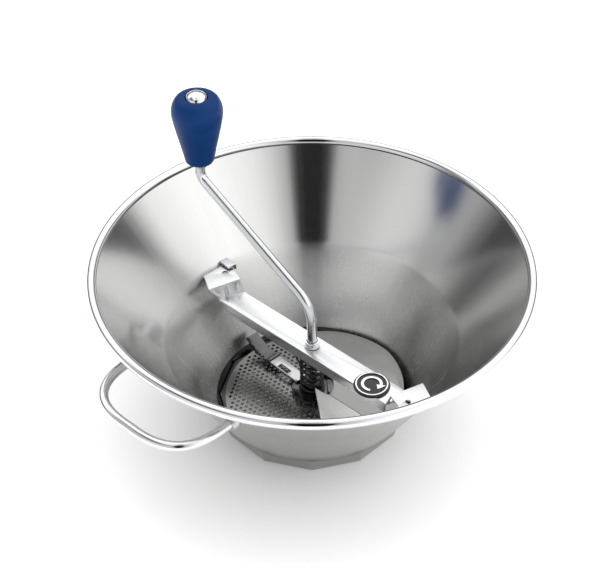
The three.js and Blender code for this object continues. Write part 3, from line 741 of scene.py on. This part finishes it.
# ---- lugs ----
# Two short fingers folded from strip and welded inside the wall. The bar's tongues slide under them, and a
# leg on each stops the bar turning.
from_frame("lug_finger_right", "bar_lug_right", "bowl", pressed_strip, 0.3)
from_frame("lug_finger_left", "bar_lug_left", "bowl", pressed_strip, 0.3)

# ---- spring ----
# Hard drawn spring wire, coiled and blackened in oil, held between two pressed washers. It pushes the rotor
# down on the grid.

# The hot oil leaves a dark half-shine with uneven grey scale.
black_spring, tree, shader = surface("oil_blackened_spring_steel")
scale_noise = put(tree, "ShaderNodeTexNoise", values={"Scale": 1100, "Detail": 4},
                  links={"Vector": put(tree, "ShaderNodeTexCoord").outputs["Object"]})
scale_rough = put(tree, "ShaderNodeMapRange", values={"To Min": 0.22, "To Max": 0.5},
                  links={"Value": scale_noise.outputs[0]})
tree.links.new(scale_rough.outputs[0], shader.inputs["Roughness"])
scale_tone = put(tree, "ShaderNodeMix", {"data_type": "RGBA"},
                 {"A": linear("#1d1d1e"), "B": linear("#4b4b4c")}, {"Factor": scale_noise.outputs[0]})
tree.links.new(scale_tone.outputs["Result"], shader.inputs["Base Color"])
shader.inputs["Metallic"].default_value = 1
coil_tree = bpy.data.node_groups.new("coil_spring", "GeometryNodeTree")
coil_tree.interface.new_socket("Geometry", in_out="INPUT", socket_type="NodeSocketGeometry")
coil_inputs = {
    word: coil_tree.interface.new_socket(word, in_out="INPUT", socket_type="NodeSocketFloat")
    for word in ("Turns", "Coil Radius", "Wire Radius", "Low", "Height")
}
coil_finish = coil_tree.interface.new_socket("Finish", in_out="INPUT", socket_type="NodeSocketMaterial")
coil_tree.interface.new_socket("Spring", in_out="OUTPUT", socket_type="NodeSocketGeometry")
coil_in = put(coil_tree, "NodeGroupInput").outputs
coil_path = put(coil_tree, "GeometryNodeCurveSpiral", values={"Resolution": 48}, links={
    "Rotations": coil_in["Turns"], "Start Radius": coil_in["Coil Radius"], "End Radius": coil_in["Coil Radius"],
    "Height": coil_in["Height"]})
coil_lift = put(coil_tree, "ShaderNodeCombineXYZ", links={"Z": coil_in["Low"]})
coil_path = put(coil_tree, "GeometryNodeSetPosition",
                links={"Geometry": coil_path.outputs[0], "Offset": coil_lift.outputs[0]})
wire_section = put(coil_tree, "GeometryNodeCurvePrimitiveCircle", values={"Resolution": 16},
                   links={"Radius": coil_in["Wire Radius"]})
coil_wire = put(coil_tree, "GeometryNodeCurveToMesh", values={"Fill Caps": True},
                links={"Curve": coil_path.outputs[0], "Profile Curve": wire_section.outputs["Curve"]})
coil_wire = put(coil_tree, "GeometryNodeRealizeInstances", links={0: coil_wire.outputs[0]})
coil_wire = put(coil_tree, "GeometryNodeSetMaterial",
                links={"Geometry": coil_wire.outputs[0], "Material": coil_in["Finish"]})
put(coil_tree, "NodeGroupOutput", links={0: coil_wire.outputs[0]})
spring_low, spring_high = (corner[2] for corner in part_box("shaft_spring"))
wire_radius = 1.0 * mm
coil_shape = baked("spring", bpy.data.meshes.new("spring_blank"), coil_tree, {
    coil_inputs["Turns"]: 5.0,
    coil_inputs["Coil Radius"]: 8.0 * mm,
    coil_inputs["Wire Radius"]: wire_radius,
    coil_inputs["Low"]: spring_low + wire_radius,
    coil_inputs["Height"]: spring_high - spring_low - 2 * wire_radius,
    coil_finish: black_spring,
})
coil = piece("shaft_spring_coil", coil_shape, "spring_carrier", [black_spring], ["shaft_spring"], 50)
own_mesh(coil)
from_frame("spring_cup_washer", "spring_cup", "crossbar", black_spring, 0.25)
from_frame("spring_seat_washer", "spring_seat", "spring_carrier", black_spring, 0.25)

# ---- rotor ----
# A turned hub on the rod. The press plate is a swept blade of 1.5 mm sheet, high where it gathers the
# food and low where it squeezes it through the grid, riveted to a bracket on the hub.

# Strip and turned steel, half bright with fine scuffs; its dark grey is painted shade and painted dark
# reflection.
dark_painted_strip = buffed_steel("painted_dark_reflection_stainless", "#5e5e5f", 0.1, 0.24)
from_frame("rotor_hub_turned", "rotor_hub", "rotor", dark_painted_strip, 0.35)
# Rolled sheet, kept smooth by the food that it presses; its even mid grey is painted shade.
plate_painted_shade_steel = spun_steel("press_plate_painted_shade_grey", "#878785", 0.1, 0.18)
# The ramp was buffed across its slope, so its shine is soft; its pale colour is a painted highlight.
ramp_painted_highlight_steel = spun_steel("press_plate_ramp_painted_highlight", "#f4f4f2", 0.5, 0.62)
lead, bend, fall, trail = -40, 0, 75, 150
plate_low, plate_flat, plate_tail = 30, 17.8, 13.4
plate_inner, plate_radius, trail_radius, plate_sheet = 16, 67.5, 60, 1.5


def plate_height(azimuth):
    """The height of the plate's underside at an angle round the rod."""
    if azimuth < bend:
        return plate_low + (azimuth - lead) / (bend - lead) * (plate_flat - plate_low)
    if azimuth < fall:
        return plate_flat
    return plate_flat + (azimuth - fall) / (trail - fall) * (plate_tail - plate_flat)


plate_shape = bmesh.new()
plate_rows = []
steps_round, steps_out = 95, 10
for i in range(steps_round + 1):
    azimuth = lead + (trail - lead) * i / steps_round
    # The fold at the leading ramp is pressed over a few millimetres, so its height is averaged.
    z = sum(plate_height(azimuth + k * 1.2) for k in (-2, -1, 0, 1, 2)) / 5
    past_fall = max(0, (azimuth - fall) / (trail - fall))
    edge_radius = plate_radius + past_fall * (trail_radius - plate_radius)
    line = []
    for j in range(steps_out + 1):
        r = plate_inner + (edge_radius - plate_inner) * j / steps_out
        x, y = r * math.cos(math.radians(azimuth)), r * math.sin(math.radians(azimuth))
        line.append([plate_shape.verts.new((x * mm, y * mm, (z + up) * mm)) for up in (0, plate_sheet)])
    plate_rows.append(line)
for i in range(steps_round):
    for j in range(steps_out):
        a, b = plate_rows[i][j], plate_rows[i][j + 1]
        c, d = plate_rows[i + 1][j + 1], plate_rows[i + 1][j]
        plate_shape.faces.new([a[1], b[1], c[1], d[1]])
        plate_shape.faces.new([d[0], c[0], b[0], a[0]])
for i in range(steps_round):
    for j in (0, steps_out):
        a, d = plate_rows[i][j], plate_rows[i + 1][j]
        plate_shape.faces.new([a[0], a[1], d[1], d[0]] if j == 0 else [a[1], a[0], d[0], d[1]])
for j in range(steps_out):
    for i in (0, steps_round):
        a, b = plate_rows[i][j], plate_rows[i][j + 1]
        plate_shape.faces.new([a[1], a[0], b[0], b[1]] if i == 0 else [a[0], a[1], b[1], b[0]])
bmesh.ops.recalc_face_normals(plate_shape, faces=plate_shape.faces)
plate_corners = [e for e in plate_shape.edges if e.calc_face_angle(0) > math.radians(60)]
bmesh.ops.bevel(plate_shape, geom=plate_corners, offset=0.35 * mm, segments=2, profile=0.6, affect="EDGES",
                clamp_overlap=True)
# The one sheet is split by angle: a painted highlight on the ramp and painted shade on the rest.
for face in plate_shape.faces:
    middle = face.calc_center_median()
    face.material_index = 1 if math.degrees(math.atan2(middle.y, middle.x)) < bend else 0
piece("press_plate_blade", plate_shape, "rotor", [plate_painted_shade_steel, ramp_painted_highlight_steel], ["press_plate"])
from_frame("plate_bracket_strip", "plate_bracket", "rotor", dark_painted_strip, 0.35)
from_frame("plate_rivet_head_1", "plate_rivet_1", "rotor", buffed, 0)
from_frame("plate_rivet_head_2", "plate_rivet_2", "rotor", buffed, 0)

# ---- scraper ----
# A slotted strip on the hub with a toothed blade hinged at its end, which clears the grid behind the plate.
# The strip is cold rolled and left bright; the blade's dark grey is painted shade and painted dark reflection.

# Cold rolled strip as it left the rollers: bright and smooth, with faint marks.
scraper_steel = buffed_steel("cold_rolled_scraper_strip", "#b4b5b6", 0.07, 0.18)
from_frame("scraper_arm_strip", "scraper_arm", "rotor", scraper_steel, 0.3)
from_frame("scraper_hinge_pin", "scraper_pin", "rotor", dark_painted_strip, 0.3)
from_frame("scraper_toothed_blade", "scraper_blade", "scraper", dark_painted_strip, 0.25)

# ---- crank rod ----
# Drawn round rod, 7.5 mm thick, cranked out over the bowl and up into the knob, and buffed. Its foot is
# fixed in the rotor's hub.
crank_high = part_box("crank_rod")[1]
crank_turn = math.radians(2.5)
crank_reach = 103.3
crank_rod_radius = 3.75
crank_foot, crank_bend, crank_rise = 1, 94, 160
crank_route = routed([
    (0, 0, crank_foot, 0),
    (0, 0, crank_bend, 15),
    (-crank_reach, 0, crank_rise, 6),
    (-crank_reach, 0, crank_high[2] / mm, 0),
])
crank_shape = rod("crank", crank_route, crank_rod_radius, drawn_rod, crank_turn)
piece("crank_rod_bent", crank_shape, "rotor", [drawn_rod], ["crank_rod"])

# ---- knob ----
# A pear-shaped grip moulded in deep blue polyamide, which turns on the rod between a steel collar and a
# domed cap that is pressed on the rod's end.
knob_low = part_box("knob_grip")[0][2]
knob_at = Matrix.Rotation(crank_turn, 4, "Z") @ Matrix.Translation((-crank_reach * mm, 0, knob_low))


def through(points, steps):
    """A smooth line through points, as many steps between each two."""
    line = []
    for i in range(len(points) - 1):
        a, b = Vector(points[max(i - 1, 0)]), Vector(points[i])
        c, d = Vector(points[i + 1]), Vector(points[min(i + 2, len(points) - 1)])
        for k in range(steps):
            t = k / steps
            line.append(0.5 * (2 * b + (c - a) * t + (2 * a - 5 * b + 4 * c - d) * t * t
                               + (3 * b - a - 3 * c + d) * t ** 3))
    return [*line, Vector(points[-1])]


# Polyamide coloured right through and moulded in a spark-eroded tool: deep blue, nearly matt and hardly
# mottled, with a fine pebble that is drawn 0.7 mm across so that it shows.
blue_grip, tree, shader = surface("moulded_blue_polyamide")
grip_place = put(tree, "ShaderNodeTexCoord").outputs["Object"]
pebble = put(tree, "ShaderNodeTexNoise", values={"Scale": 1400, "Detail": 3}, links={"Vector": grip_place})
cloud = put(tree, "ShaderNodeTexNoise", values={"Scale": 60, "Detail": 3}, links={"Vector": grip_place})
grip_tone = put(tree, "ShaderNodeMix", {"data_type": "RGBA"},
                {"A": linear("#0c2d60"), "B": linear("#10427f")}, {"Factor": cloud.outputs[0]})
tree.links.new(grip_tone.outputs["Result"], shader.inputs["Base Color"])
grip_rough = put(tree, "ShaderNodeMapRange", values={"To Min": 0.34, "To Max": 0.52},
                 links={"Value": pebble.outputs[0]})
tree.links.new(grip_rough.outputs[0], shader.inputs["Roughness"])
grip_bump = put(tree, "ShaderNodeBump", values={"Strength": 0.25, "Distance": 0.0001},
                links={"Height": pebble.outputs[0]})
tree.links.new(grip_bump.outputs[0], shader.inputs["Normal"])
shader.inputs["Specular IOR Level"].default_value = 0.11
grip_side = through([(10.4, 1.2), (12.4, 11), (15.7, 26), (18, 39), (17.3, 46), (14.4, 51), (10, 52.8)], 8)
bore, recess, recess_floor = 4.1, 8.0, 47.8
grip_shape = turned([(bore, 0), (9.2, 0), (10.0, 0.35), *grip_side, (recess, 52.4), (recess, recess_floor),
                     (bore, recess_floor)], 96)
grip_shape.transform(knob_at)
piece("knob_grip_moulded", grip_shape, "knob", [blue_grip], ["knob_grip"])
cap_radius, cap_low = 7.6, 48.2
cap_top = through([(cap_radius, 52), (6.6, 53.8), (4.4, 55.3), (2, 56.05), (0, 56.2)], 6)
cap_shape = turned([(0, cap_low), (cap_radius - 0.3, cap_low), (cap_radius, cap_low + 0.3), *cap_top], 64,
                   closed=False)
cap_shape.transform(knob_at)
piece("knob_domed_cap", cap_shape, "rotor", [buffed], ["knob_cap"])
from_frame("knob_collar_ring", "knob_collar", "rotor", buffed, 0.3)

bpy.context.view_layer.update()
